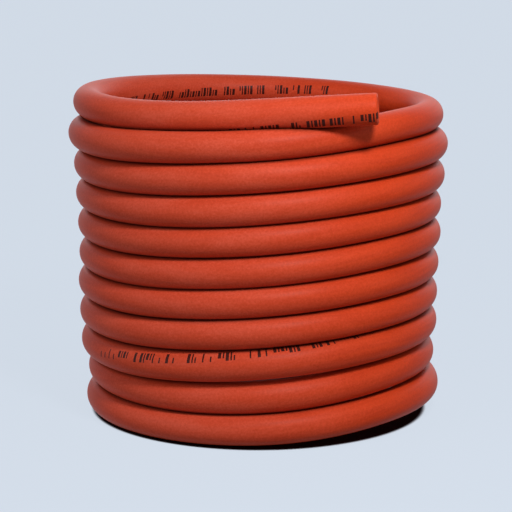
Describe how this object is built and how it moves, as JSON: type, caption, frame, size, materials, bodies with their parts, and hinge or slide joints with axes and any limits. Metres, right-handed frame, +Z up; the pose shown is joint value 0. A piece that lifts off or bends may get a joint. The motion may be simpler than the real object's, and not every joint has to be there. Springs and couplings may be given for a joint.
{
  "type": "rubber gas tubing",
  "caption": "Length of soft orange-red rubber gas tubing wound into a standing coil, with one free end leading off the top",
  "frame": {"origin": "middle of the bounding box's base, on the floor", "axes": "+Z up along the coil's axis, -Y towards the front of the picture, +X the way the lower end points, and the upper end within 2 degrees"},
  "size_m": [0.1924, 0.1922, 0.1731],
  "materials": {
    "hose_rubber": "matte orange-red rubber, slightly dusty"
  },
  "bodies": {
    "root": {"gas_tubing": "hose_rubber"}
  },
  "joints": []
}
